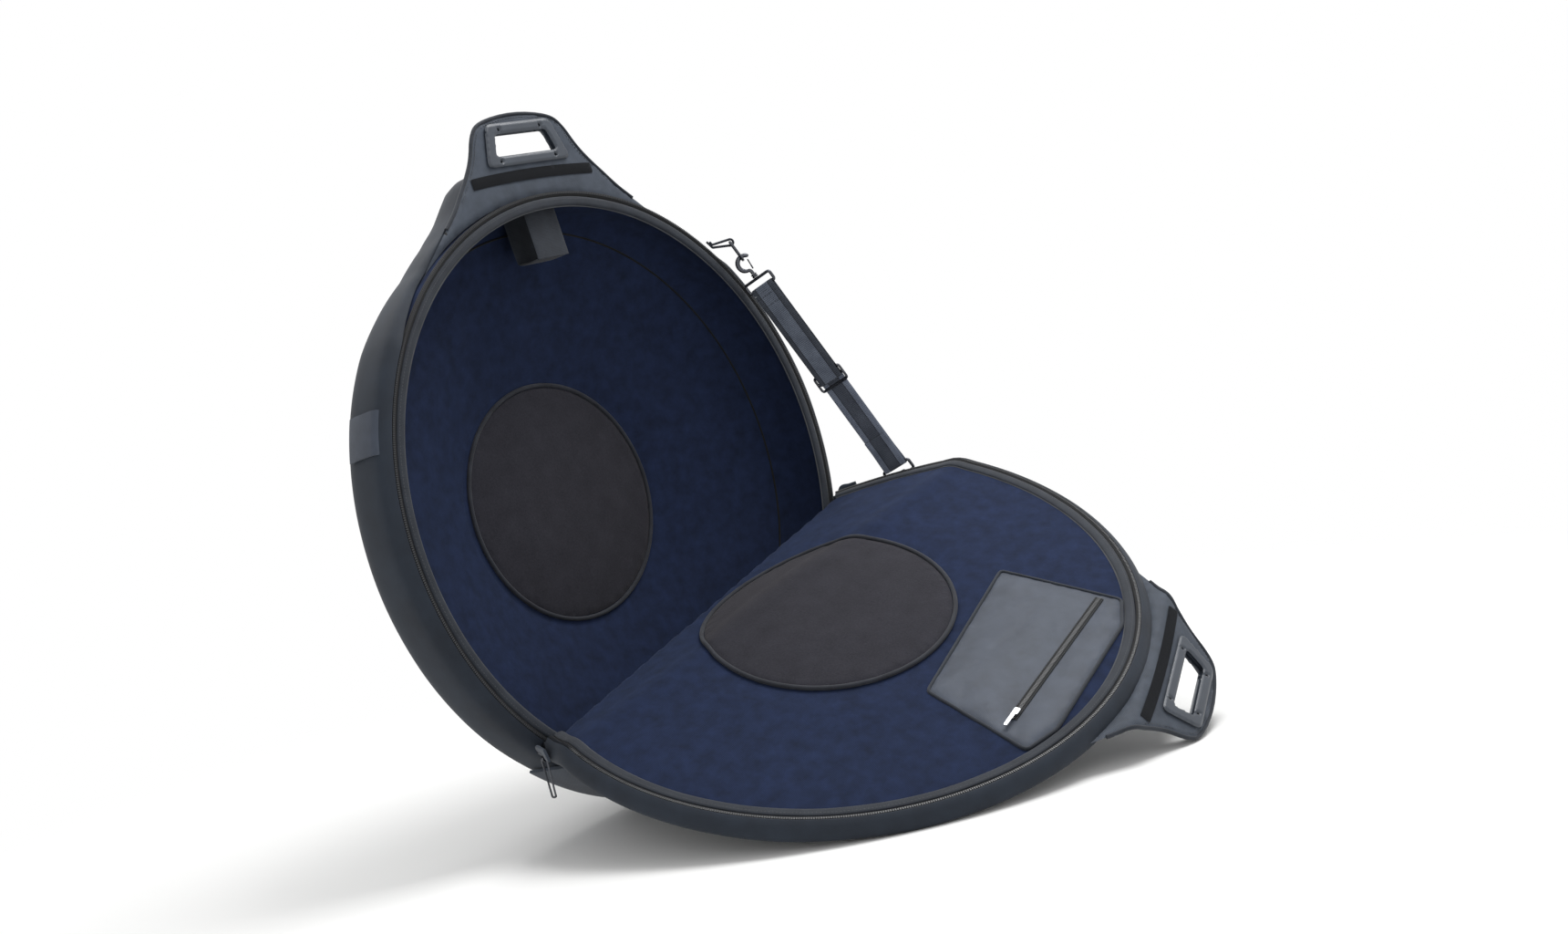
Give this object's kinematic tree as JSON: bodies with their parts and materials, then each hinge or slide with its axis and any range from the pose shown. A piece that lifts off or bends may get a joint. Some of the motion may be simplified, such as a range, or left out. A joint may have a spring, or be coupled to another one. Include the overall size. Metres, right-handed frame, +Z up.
{
  "type": "bike wheel bag",
  "caption": "Round padded clamshell bag for one bicycle wheel, standing open, with carry handles, zipped lid pocket and clip-on shoulder strap.",
  "frame": {"origin": "centre of the footprint, on the floor", "axes": "+Z up; the mouth of the standing half faces -Y, and the open lid lies out towards -Y; +X to the right of someone facing the mouth"},
  "size_m": [0.8299, 0.7943, 0.8782],
  "materials": {
    "shell": "woven nylon over foam, smooth side wall",
    "lining": "brushed nylon",
    "pad": "brushed fleece",
    "piping": "bound cord",
    "binding": "woven tape, bound and stitched",
    "tape": "zip tape",
    "nylon": "reinforced nylon",
    "strip": "hook-and-loop",
    "plastic": "satin moulded",
    "pocket": "woven nylon",
    "webbing": "woven webbing",
    "hardware": "gunmetal",
    "steel": "satin"
  },
  "bodies": {
    "back": {"back_shell": "shell", "back_panel": "shell", "back_wall_lining": "lining", "back_lining": "lining", "back_hub_pad": "pad", "back_pad_piping": "piping", "back_binding": "binding", "back_zip_tape": "tape", "back_tab": "nylon", "back_tab_strip": "strip", "back_handle_front": "plastic", "back_handle_rear": "plastic", "base_patch": "binding", "side_band": "webbing", "front_shell": "shell", "front_lining": "lining", "front_binding": "binding", "wheel_strap_tail": "webbing", "upper_ring_tape": "webbing"},
    "wheel_strap": {"wheel_strap_flap": "webbing"},
    "lid_flap": {"flap_shell": "shell", "flap_lining": "lining", "flap_binding_left": "binding", "flap_binding_right": "binding", "flap_zip_tape_left": "tape", "flap_zip_tape_right": "tape", "flap_hub_pad": "pad", "flap_pad_piping": "piping", "lower_ring_tape": "webbing"},
    "lid": {"lid_shell": "shell", "lid_lining": "lining", "lid_binding": "binding", "lid_zip_tape": "tape", "lid_hub_pad": "pad", "lid_pad_piping": "piping", "lid_pocket": "pocket", "pocket_zip": "binding", "lid_tab_root": "nylon"},
    "lid_tab_end": {"lid_tab": "nylon", "lid_tab_strip": "strip", "lid_handle_front": "plastic", "lid_handle_rear": "plastic"},
    "main_zip_slider": {"zip_slider": "hardware", "zip_slider_lug": "hardware"},
    "main_zip_pull": {"zip_pull": "hardware"},
    "upper_strap": {"upper_ring": "hardware", "swivel_post": "hardware", "strap_loop": "hardware", "strap_back": "webbing", "strap_front": "webbing"},
    "strap_hook": {"snap_hook": "hardware"},
    "strap_hook_gate": {"hook_gate": "hardware"},
    "strap_adjuster": {"three_bar_slider": "hardware"},
    "lower_strap": {"lower_ring": "hardware", "strap_lower": "webbing"},
    "pocket_zip_slider": {"pocket_slider": "steel"},
    "pocket_zip_pull": {"pocket_pull": "steel"}
  },
  "joints": [
    {"name": "lid_hinge", "type": "hinge", "parent": "back", "child": "lid_flap", "pos_m": [0.02816, 0.1968, 0.21878], "axis": [-0.9608, -0.0294, -0.2758], "range_deg": [0, 94], "deforming": ["strap_lower", "upper_ring_tape", "lower_ring_tape"]},
    {"name": "ridge_fold", "type": "hinge", "parent": "lid_flap", "child": "lid", "pos_m": [0.04286, 0.0801, 0.22692], "axis": [-0.9482, 0.1532, -0.2782], "range_deg": [0, 23.05]},
    {"name": "tab_fold", "type": "hinge", "parent": "lid", "child": "lid_tab_end", "pos_m": [0.17051, -0.34128, 0.09064], "axis": [-0.8925, -0.2033, -0.4027], "range_deg": [0, 40.05]},
    {"name": "upper_strap_swing", "type": "hinge", "parent": "back", "child": "upper_strap", "pos_m": [0.25366, 0.23841, 0.68488], "axis": [-0.3771, -0.355, 0.8555], "range_deg": [0, 66.1]},
    {"name": "lower_strap_swing", "type": "hinge", "parent": "lid_flap", "child": "lower_strap", "pos_m": [0.4006, 0.12743, 0.32109], "axis": [0.7538, 0.6146, 0.2324], "range_deg": [0, 98.1]},
    {"name": "hook_turn", "type": "hinge", "parent": "upper_strap", "child": "strap_hook", "pos_m": [0.25366, 0.23841, 0.68488], "axis": [0.3604, -0.2722, -0.8922], "range_deg": [-15, 15]},
    {"name": "gate_open", "type": "hinge", "parent": "strap_hook", "child": "strap_hook_gate", "pos_m": [0.27267, 0.22315, 0.64364], "axis": [-0.7478, -0.6561, -0.1019], "range_deg": [0, 18], "stiffness_Nm_per_rad": 0.05, "springref_deg": -11.46},
    {"name": "adjuster_slide", "type": "slide", "parent": "upper_strap", "child": "strap_adjuster", "axis": [-0.3604, 0.2722, 0.8922], "range_m": [0, 0.12], "deforming": ["strap_front"]},
    {"name": "zip_travel", "type": "hinge", "parent": "back", "child": "main_zip_slider", "pos_m": [-0.0237, 0.2218, 0.3968], "axis": [0, 0.9944, -0.1059], "range_deg": [0, 172]},
    {"name": "zip_pull_swing", "type": "hinge", "parent": "main_zip_slider", "child": "main_zip_pull", "pos_m": [-0.29634, 0.19126, 0.11012], "axis": [0, -0.9944, 0.1059], "range_deg": [-110, 35]},
    {"name": "wheel_strap_lift", "type": "hinge", "parent": "back", "child": "wheel_strap", "pos_m": [-0.05325, 0.28209, 0.75977], "axis": [0.9968, 0.0085, 0.0797], "range_deg": [-45, 0]},
    {"name": "pocket_zip_slide", "type": "slide", "parent": "lid", "child": "pocket_zip_slider", "axis": [0.9402, 0.0079, 0.3406], "range_m": [0, 0.228]},
    {"name": "pocket_pull_lift", "type": "hinge", "parent": "pocket_zip_slider", "child": "pocket_zip_pull", "pos_m": [-0.01338, -0.26381, 0.0782], "axis": [-0.1283, 0.9343, 0.3325], "range_deg": [0, 95]}
  ],
  "couplings": [
    {"joint": "ridge_fold", "follows": "lid_hinge", "ratio": 0.24468},
    {"joint": "tab_fold", "follows": "lid_hinge", "ratio": 0.42553},
    {"joint": "upper_strap_swing", "follows": "lid_hinge", "ratio": 0.70171},
    {"joint": "lower_strap_swing", "follows": "lid_hinge", "ratio": 1.0419}
  ]
}
